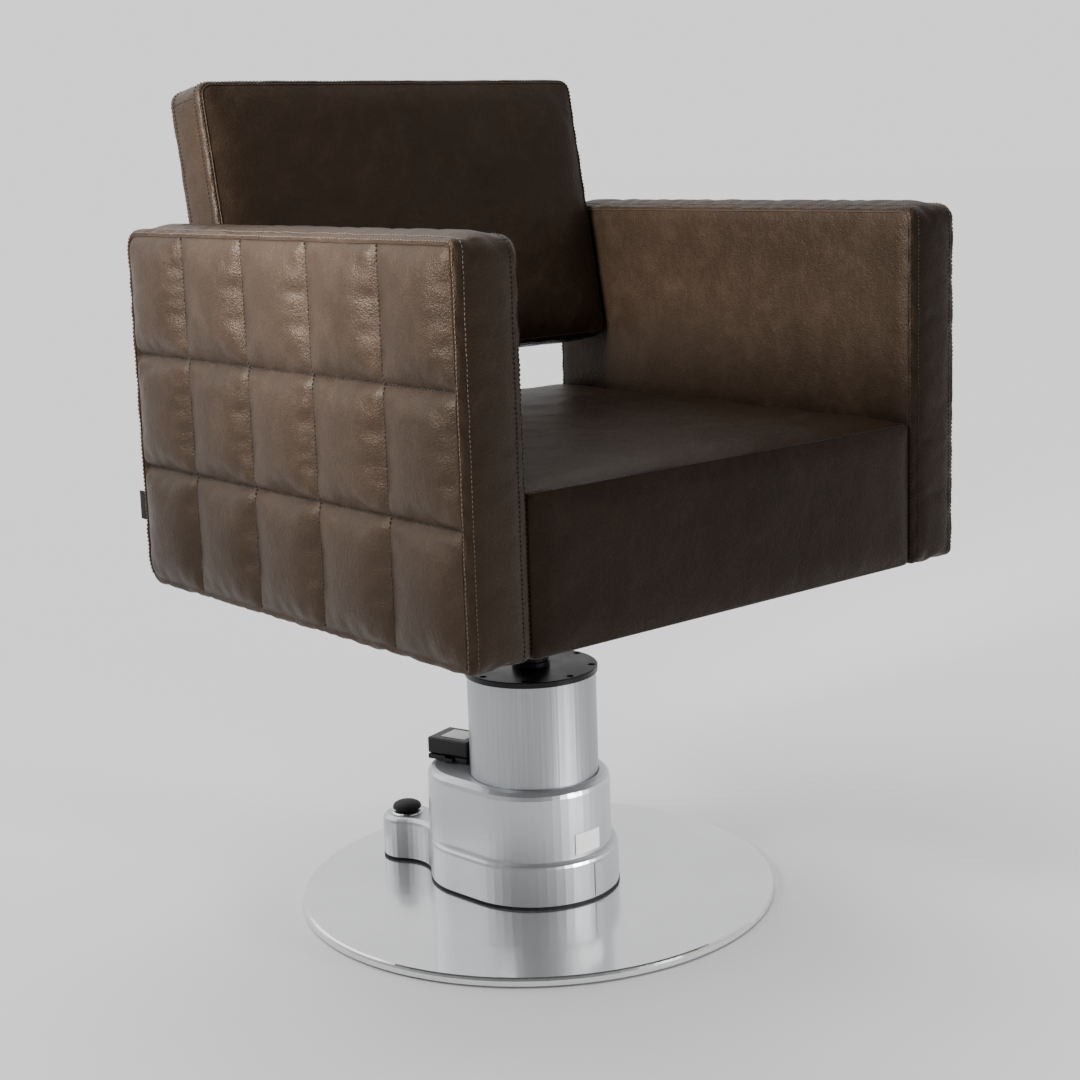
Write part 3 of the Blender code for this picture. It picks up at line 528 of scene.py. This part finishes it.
def add_stitch(shape, start, end, normal, radius):
    """One stitch: a short bar of thread that dips at its ends."""
    side = (end - start).normalized().cross(normal).normalized()
    rings = []
    for share, lift, size in STITCH_SHAPE:
        centre = start.lerp(end, share) + normal * (lift * radius)
        turns = [math.tau * corner / STITCH_SIDES for corner in range(STITCH_SIDES)]
        rings.append([shape.verts.new(centre + (side * math.cos(t) + normal * math.sin(t)) * radius * size)
                      for t in turns])
    for first, second in zip(rings, rings[1:]):
        for corner in range(STITCH_SIDES):
            after = (corner + 1) % STITCH_SIDES
            shape.faces.new((first[corner], first[after], second[after], second[corner]))
    shape.faces.new(rings[0][::-1])
    shape.faces.new(rings[-1])


def sew(name, surface, lines, material, radius=THREAD):
    """Rows of stitches, as one piece, laid on a surface along the given lines."""
    shape = bmesh.new()
    for line in lines:
        laid = [surface.find_nearest(p)[0] for p in line]
        places = along(laid, STITCH_PITCH)
        for start, after in zip(places, places[1:]):
            start, normal, _, _ = surface.find_nearest(start)
            end = surface.find_nearest(start + (after - start).normalized() * STITCH_LENGTH)[0]
            add_stitch(shape, start + normal * LIFT, end + normal * LIFT, normal, radius)
    bmesh.ops.recalc_face_normals(shape, faces=shape.faces)
    mesh = bpy.data.meshes.new(name)
    shape.to_mesh(mesh)
    shape.free()
    added(name, mesh, material, SEAT_BODY)


def ridge(name, surface, line, material):
    """The folded edge of a seam: a thin, slightly uneven roll of leather along a line."""
    curve = bpy.data.curves.new(name, "CURVE")
    curve.dimensions = "3D"
    curve.bevel_depth = RIDGE
    curve.bevel_resolution = 2
    curve.use_fill_caps = True
    places = along([surface.find_nearest(p)[0] for p in line], 0.005)
    spline = curve.splines.new("POLY")
    spline.points.add(len(places) - 1)
    for point, place in zip(spline.points, places):
        point.co = (*place, 1.0)
        point.radius = 1.0 + 0.12 * noise.noise(place * 70.0)
    added(name, curve, material, SEAT_BODY)


def added(name, data, material, body):
    data.materials.append(material)
    if isinstance(data, bpy.types.Mesh):
        data.shade_smooth()
    obj = bpy.data.objects.new(name, data)
    bpy.context.scene.collection.objects.link(obj)
    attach(obj, body)


# ================================================================ arms
ARM_EDGE = 0.0070
ARM_SIDES = ((-1, -1), (-1, 1), (1, 1), (1, -1))  # from the front foot over the top to the rear foot


def make_arm(side, outer, corners, skins):
    """One box arm: a quilted outer panel, a plain inner panel and a strip round between them.

    outer is 0 where the outer panel is the low one along X, and 1 where it is the high one."""
    low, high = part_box(f"{side}_arm_pad")
    inner, inward = 1 - outer, (1, -1)[outer]
    columns = [low[1] + (high[1] - low[1]) * i / QUILT_COLUMNS for i in range(1, QUILT_COLUMNS)]
    rows = [high[2] - (high[2] - low[2]) * sum(QUILT_ROWS[:i]) for i in (1, 2)]
    bands = (low[0] + BAND, high[0] - BAND)
    slab = Slab(0, low, high, ARM_EDGE, corners, (bands, columns, (*rows, SEAT_TOP)))
    panel, inset = slab.panel(outer), slab.inset()
    on_column = panel & np.any([slab.at(1, y) for y in columns], axis=0)
    on_row = panel & np.any([slab.at(2, z) for z in rows], axis=0)
    inside = inset > ARM_EDGE
    deep = np.zeros(len(slab.rest))
    deep[slab.seam(panel)] = BORDER_INSET
    deep[on_column & inside] = SEAM_INSET
    deep[on_row & inside] = CHANNEL_INSET
    slab.rest[:, 0] += inward * deep
    slab.sewn = deep > 0
    inner_panel = slab.panel(inner)
    hidden = inner_panel & (slab.lattice[:, 2] < SEAT_TOP + SAME)
    slab.pinned = slab.sewn | slab.strip_ring(0, BAND) | slab.strip_ring(1, BAND) | hidden
    slab.pinned |= slab.seam(inner_panel)
    slab.most[:] = np.where(inner_panel, INNER_PANEL_RISE, ARM_STRIP_RISE)
    slab.most[panel & inside] = QUILT_RISE
    slab.most[slab.at(2, high[2])] = ARM_TOP_RISE
    slab.most[hidden] = 0.0
    obj = upholster(f"{side}_arm_cover", slab, f"{side}_arm_pad", skins[f"{side}_arm"], 0.032,
                    ((0.0005, 24.0), (0.00035, 85.0)), 3.0 + outer)
    surface = surface_of(obj)
    face_x = (low, high)[outer][0]
    seams = []
    for y in columns:
        x = face_x + inward * SEAM_INSET
        seams.append(along([(x, y, high[2] - SEAM_END), (x, y, low[2] + SEAM_END)], LINE_STEP))
    for z in rows:
        x = face_x + inward * CHANNEL_INSET
        seams.append(along([(x, low[1] + SEAM_END, z), (x, high[1] - SEAM_END, z)], LINE_STEP))
    sew(f"{side}_arm_quilting", surface, seams, skins["dark_thread"], QUILT_THREAD)
    for label, end, sewing in (("outer", outer, "light_thread"), ("inner", inner, "dark_thread")):
        fold = slab.path(end, 0.0, ARM_EDGE - FOLD_INSET, ARM_SIDES)
        ridge(f"{side}_arm_{label}_fold", surface, fold, skins["fold"])
        rows_beside = [slab.path(end, 0.0, EDGE_STITCHES, ARM_SIDES), slab.path(end, BAND, 0.0, ARM_SIDES)]
        sew(f"{side}_arm_{label}_stitches", surface, rows_beside, skins[sewing])


# ================================================================ seat and back
SEAT_EDGE = 0.006
SEAT_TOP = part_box("seat_cushion")[1][2]


def make_seat(skins):
    low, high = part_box("seat_cushion")
    corners = {(a, b): (SEAT_EDGE + 0.001,) * 2 for a in (-1, 1) for b in (-1, 1)}
    slab = Slab(2, low, high, SEAT_EDGE, corners)
    sides = slab.at(0, low[0]) | slab.at(0, high[0])
    front, top = slab.at(1, low[1]), slab.panel(1)
    slab.pinned = sides | slab.panel(0) | slab.at(1, high[1]) | (front & top)
    slab.most[:] = np.where(top, CUSHION_RISE, SEAT_SIDE_RISE)
    slab.most[sides | slab.panel(0)] = 0.0
    obj = upholster("seat_cover", slab, "seat_cushion", skins["seat"], 0.006,
                    ((0.0010, 13.0), (0.0004, 55.0)), 21.0)
    surface = surface_of(obj)
    front_edge = slab.path(1, 0.0, 0.0, ((-1, -1), (1, -1)))
    sew("seat_stitches", surface, [front_edge[2:-2]], skins["dark_thread"])


BACK_EDGE = 0.006
BACK_CORNER = 0.016


def make_back(skins):
    """A thick slab cushion with round corners, two panels and a strip, its strip joined near the top."""
    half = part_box("back_cushion")[1][0]
    low, high = (-half, 0.0, 0.0), (half, BACK_THICKNESS, BACK_HEIGHT)
    corners = {(a, b): (BACK_CORNER,) * 2 for a in (-1, 1) for b in (-1, 1)}
    slab = Slab(1, low, high, BACK_EDGE, corners, ((), (BAND, BACK_THICKNESS - BAND), ()))
    panel = slab.panel(0) | slab.panel(1)
    slab.pinned = slab.strip_ring(0, BAND) | slab.strip_ring(1, BAND)
    slab.pinned |= slab.seam(panel)
    slab.most[:] = np.where(panel, CUSHION_RISE, BACK_STRIP_RISE)
    turn = Matrix.Translation(BACK_FOOT) @ Matrix.Rotation(-BACK_TILT, 4, "X")
    obj = upholster("back_cover", slab, "back_cushion", skins["back"], 0.010,
                    ((0.0010, 12.0), (0.0004, 50.0)), 41.0, turn)
    surface = surface_of(obj)
    rows = []
    for end in (0, 1):
        fold = [turn @ p for p in slab.path(end, 0.0, BACK_EDGE - FOLD_INSET, ROUND_TRIP)]
        ridge(f"back_fold_{end + 1}", surface, fold, skins["fold"])
        rows.append([turn @ p for p in slab.path(end, 0.0, BACK_EDGE_STITCHES, ROUND_TRIP)])
        rows.append([turn @ p for p in slab.path(end, BAND, 0.0, ROUND_TRIP)])
    for x in (low[0], high[0]):
        joint = [(x, y, BACK_HEIGHT - BACK_CORNER) for y in (BAND, BACK_THICKNESS - BAND)]
        rows.append([turn @ p for p in along(joint, LINE_STEP)])
    sew("back_stitches", surface, rows, skins["dark_thread"])


# ================================================================ small pieces
def plain_box(name, low, high, material, body, bevel, turn=None):
    shape = bmesh.new()
    bmesh.ops.create_cube(shape, size=1.0)
    bmesh.ops.scale(shape, vec=[b - a for a, b in zip(low, high)], verts=shape.verts)
    bmesh.ops.translate(shape, vec=[(a + b) / 2 for a, b in zip(low, high)], verts=shape.verts)
    bmesh.ops.bevel(shape, geom=list(shape.edges), offset=bevel, segments=2, profile=0.6, affect="EDGES")
    mesh = bpy.data.meshes.new(name)
    shape.to_mesh(mesh)
    shape.free()
    if turn is not None:
        mesh.transform(turn)
    added(name, mesh, material, body)
    mesh.set_sharp_from_angle(angle=math.radians(40))


# ================================================================ finishes on the CAD nodes
def dress_cad_nodes():
    black_steel = moulded("black_steel_satin", (0.008, 0.008, 0.009), 0.34, 700.0, 0.00003, 0.3)
    rubber = moulded("black_rubber_matt", (0.006, 0.006, 0.006), 0.62, 900.0, 0.00008)
    plastic = moulded("black_plastic_grained", (0.007, 0.007, 0.008), 0.38, 1200.0, 0.00005)
    zinc = brushed("zinc_steel", (0.60, 0.61, 0.62), 2, 0.34)
    iron = moulded("cast_iron_painted", (0.12, 0.12, 0.12), 0.6, 500.0, 0.00020, 0.6)
    finishes = {
        "plate_cover": stainless_plate(),
        "button_bezel": brushed("bezel_steel", (0.72, 0.73, 0.73), 0, 0.22),
        "base_casing": silver_paint(),
        "column_sleeve": brushed("sleeve_aluminium", (0.40, 0.41, 0.43), 2, 0.36, 6.0, 700.0, 0.00004),
        "pump_block": brushed("block_aluminium", (0.62, 0.63, 0.64), 0, 0.40),
        "spindle": brushed("spindle_dark_chrome", (0.22, 0.22, 0.23), 2, 0.16),
        "rating_label": blank_label("rating_label_film"),
        "control_board": moulded("circuit_board", (0.02, 0.14, 0.06), 0.42, 600.0, 0.0001),
        "underside_panel": moulded("black_board", (0.022, 0.022, 0.022), 0.85, 400.0, 0.0002),
    }
    groups = {
        "top_flange": black_steel, "swivel_bearing": black_steel, "hub_collar": black_steel,
        "seat_plate": black_steel, "drive_motor": black_steel, "foot_button": rubber, "casing_seal": rubber,
        "floor_pad": rubber, "battery_pack": plastic, "battery_dock": plastic, "battery_latch": plastic,
        "switch_block": plastic, "base_plate": iron, "column_foot": iron,
    }
    slots = {entry["node"]: entry["material_slot"] for entry in frame["record"]["subparts"]}
    bronze = brushed("bronze", (0.50, 0.33, 0.15), 2, 0.38)
    wood = timber()
    by_slot = {"zinc_steel": zinc, "bronze": bronze, "timber": wood, "black_steel": black_steel,
               "brown_leather": wood}
    for name, node in frame["nodes"].items():
        material = finishes.get(name) or groups.get(name) or by_slot[slots[name]]
        node.data.materials.clear()
        node.data.materials.append(material)
        node.data.shade_smooth()
        node.data.set_sharp_from_angle(angle=math.radians(34))


def make_battery_label():
    """A plain white label on top of the power pack, lined up with it."""
    points = np.array([v.co for v in frame["nodes"]["battery_pack"].data.vertices])
    slide = next(joint for joint in frame["joints"] if joint["name"] == "battery_slide")
    along_pack = np.array(slide["axis"])[:2]
    across = np.array((-along_pack[1], along_pack[0]))
    centre = np.zeros(2)
    for way in (along_pack, across):
        reach = points[:, :2] @ way
        centre += way * (reach.min() + reach.max()) / 2
    turn = Matrix.Translation((*centre, points[:, 2].max())) @ Matrix.Rotation(
        math.atan2(along_pack[1], along_pack[0]), 4, "Z")
    plain_box("battery_label", (-0.018, -0.013, 0.0), (0.014, 0.013, 0.0004),
              blank_label("battery_label_paper"), "battery", 0.0001, turn)


def blank_label(name):
    return moulded(name, (0.62, 0.62, 0.61), 0.36, 1800.0, 0.00001, 0.0, (0.66, 0.66, 0.65))


def make_tag(skins):
    """A small blank tag sewn into the rear edge of the left arm."""
    low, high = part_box("left_arm_pad")
    foot = low[2] + 0.180 * (high[2] - low[2])
    plain_box("side_tag", (low[0] + 0.0030, high[1] - 0.002, foot),
              (low[0] + 0.0045, high[1] + 0.0105, foot + 0.030), skins["tag"], SEAT_BODY,
              0.0004)


# ================================================================ stage
def make_stage():
    mesh = bpy.data.meshes.new("floor")
    shape = bmesh.new()
    bmesh.ops.create_grid(shape, x_segments=1, y_segments=1, size=30.0)
    shape.to_mesh(mesh)
    shape.free()
    floor = bpy.data.objects.new("floor", mesh)
    bpy.context.scene.collection.objects.link(floor)
    tree = Tree("studio_floor")
    tree.set(Base_Color=tree.mix(tree.noise(3.0), rgb(0.92, 0.92, 0.92), rgb(0.94, 0.94, 0.94)),
             Roughness=0.85)
    mesh.materials.append(tree.material)


def area_light(name, place, aim, width, height, power, spread):
    data = bpy.data.lights.new(name, "AREA")
    data.shape = "RECTANGLE"
    data.size, data.size_y = width, height
    data.energy = power
    data.spread = math.radians(spread)
    light = bpy.data.objects.new(name, data)
    light.location = place
    light.rotation_euler = (Vector(aim) - Vector(place)).to_track_quat("-Z", "Y").to_euler()
    bpy.context.scene.collection.objects.link(light)


BRIGHT_SIDE = (0.62, 0.75, 0.15)  # where the studio is bright
STUDIO_DIM, STUDIO_BRIGHT = 0.08, 1.05
BACKDROP = 1.25  # strength of the even backdrop
SKY_FROM = (-0.40, 0.55, 1.20)
SKY_POWER = 2.6
SKY_ANGLE = math.radians(95)


def make_lights():
    """A pale studio, bright behind and dim in front: soft light from above, a key on the left, a low fill."""
    world = bpy.data.worlds.new("studio")
    world.use_nodes = True
    nodes, links = world.node_tree.nodes, world.node_tree.links
    background = nodes["Background"]
    background.inputs["Color"].default_value = (1.0, 1.0, 1.0, 1.0)
    towards = nodes.new("ShaderNodeVectorMath")
    towards.operation = "DOT_PRODUCT"
    towards.inputs[1].default_value = BRIGHT_SIDE
    shade = nodes.new("ShaderNodeMapRange")
    for key, value in (("From Min", -0.9), ("From Max", 0.9),
                       ("To Min", STUDIO_DIM), ("To Max", STUDIO_BRIGHT)):
        shade.inputs[key].default_value = value
    seen = nodes.new("ShaderNodeLightPath")
    strength = nodes.new("ShaderNodeMix")
    strength.inputs["B"].default_value = BACKDROP
    links.new(nodes.new("ShaderNodeTexCoord").outputs["Generated"], towards.inputs[0])
    links.new(towards.outputs["Value"], shade.inputs["Value"])
    links.new(seen.outputs["Is Camera Ray"], strength.inputs["Factor"])
    links.new(shade.outputs["Result"], strength.inputs["A"])
    links.new(strength.outputs["Result"], background.inputs["Strength"])
    bpy.context.scene.world = world
    area_light("key_left", (-1.6, 0.0, 1.26), (-0.325, -0.03, 0.86), 0.5, 0.5, 5.8, 32)
    area_light("base_fill", (0.50, -1.45, 0.14), (0.0, 0.0, 0.06), 0.5, 0.2, 0.75, 16)
    sky = bpy.data.lights.new("sky_panel", "SUN")
    sky.energy = SKY_POWER
    sky.angle = SKY_ANGLE
    panel = bpy.data.objects.new("sky_panel", sky)
    panel.rotation_euler = Vector(SKY_FROM).to_track_quat("Z", "Y").to_euler()
    bpy.context.scene.collection.objects.link(panel)


# ================================================================ camera
CAMERA_PLACE = (-1.2747, -1.5508, 0.8075)
CAMERA_TURN = math.radians(-40.60)  # to the right of straight ahead
CAMERA_DIP = math.radians(10.44)
CAMERA_ROLL = math.radians(-1.80)
CAMERA_LENS = 64.0
CAMERA_SHIFT = (-0.0222, -0.0398)


def make_camera():
    data = bpy.data.cameras.new("camera")
    data.sensor_width = 36.0
    data.lens = CAMERA_LENS
    data.shift_x, data.shift_y = CAMERA_SHIFT
    data.clip_start, data.clip_end = 0.05, 100.0
    camera = bpy.data.objects.new("camera", data)
    bpy.context.scene.collection.objects.link(camera)
    turn, dip, roll = CAMERA_TURN, CAMERA_DIP, CAMERA_ROLL
    ahead = Vector((-math.sin(turn) * math.cos(dip), math.cos(turn) * math.cos(dip), -math.sin(dip)))
    right = Vector((math.cos(turn), math.sin(turn), 0.0))
    up = right.cross(ahead)
    rolled_right = right * math.cos(roll) + up * math.sin(roll)
    rolled_up = up * math.cos(roll) - right * math.sin(roll)
    axes = Matrix((rolled_right, rolled_up, -ahead)).transposed()
    camera.matrix_world = Matrix.Translation(CAMERA_PLACE) @ axes.to_4x4()
    bpy.context.scene.camera = camera


HIDE_TONES = ((0.018, 0.0105, 0.0062), (0.031, 0.0190, 0.0118), (0.070, 0.0455, 0.0305))  # dark, mid, worn


def make_skins():
    # Painted shade: the right arm (0.66), seat (0.68) and back (0.90) are darker copies of the same leather as the
    # left arm. They stand in for the shade these pieces lie in, not a different dye.
    hides = {"left_arm": (1.0, 0.0, 0.26), "right_arm": (0.66, 5.3, 0.15), "seat": (0.68, 3.1, 0.13),
             "back": (0.90, 7.7, 0.22), "fold": (1.0, 11.3, 0.24)}  # painted shade as a tone share, which part was cut, gloss
    skins = {}
    for name, (shade, seed, gloss) in hides.items():
        skins[name] = leather(f"leather_{name}", *[toned(tone, shade) for tone in HIDE_TONES], seed, gloss)
    return skins | {
        "light_thread": thread("light_thread", (0.13, 0.086, 0.058)),
        "dark_thread": thread("dark_thread", (0.008, 0.005, 0.003)),
        "tag": moulded("tag_fabric", (0.005, 0.005, 0.005), 0.7, 900.0, 0.0001),
    }


make_camera()
make_stage()
make_lights()
dress_cad_nodes()
SKINS = make_skins()
FRONT_TOP, FRONT_FOOT, REAR_TOP, REAR_FOOT = (-1, 1), (-1, -1), (1, 1), (1, -1)
make_arm("left", 0, {FRONT_TOP: (0.0085, 0.020), FRONT_FOOT: (0.0080, 0.010), REAR_TOP: (0.022, 0.040),
                     REAR_FOOT: (0.026, 0.026)}, SKINS)
make_arm("right", 1, {FRONT_TOP: (0.013, 0.017), FRONT_FOOT: (0.008, 0.010), REAR_TOP: (0.040, 0.022),
                      REAR_FOOT: (0.026, 0.026)}, SKINS)
make_seat(SKINS)
make_back(SKINS)
make_tag(SKINS)
make_battery_label()
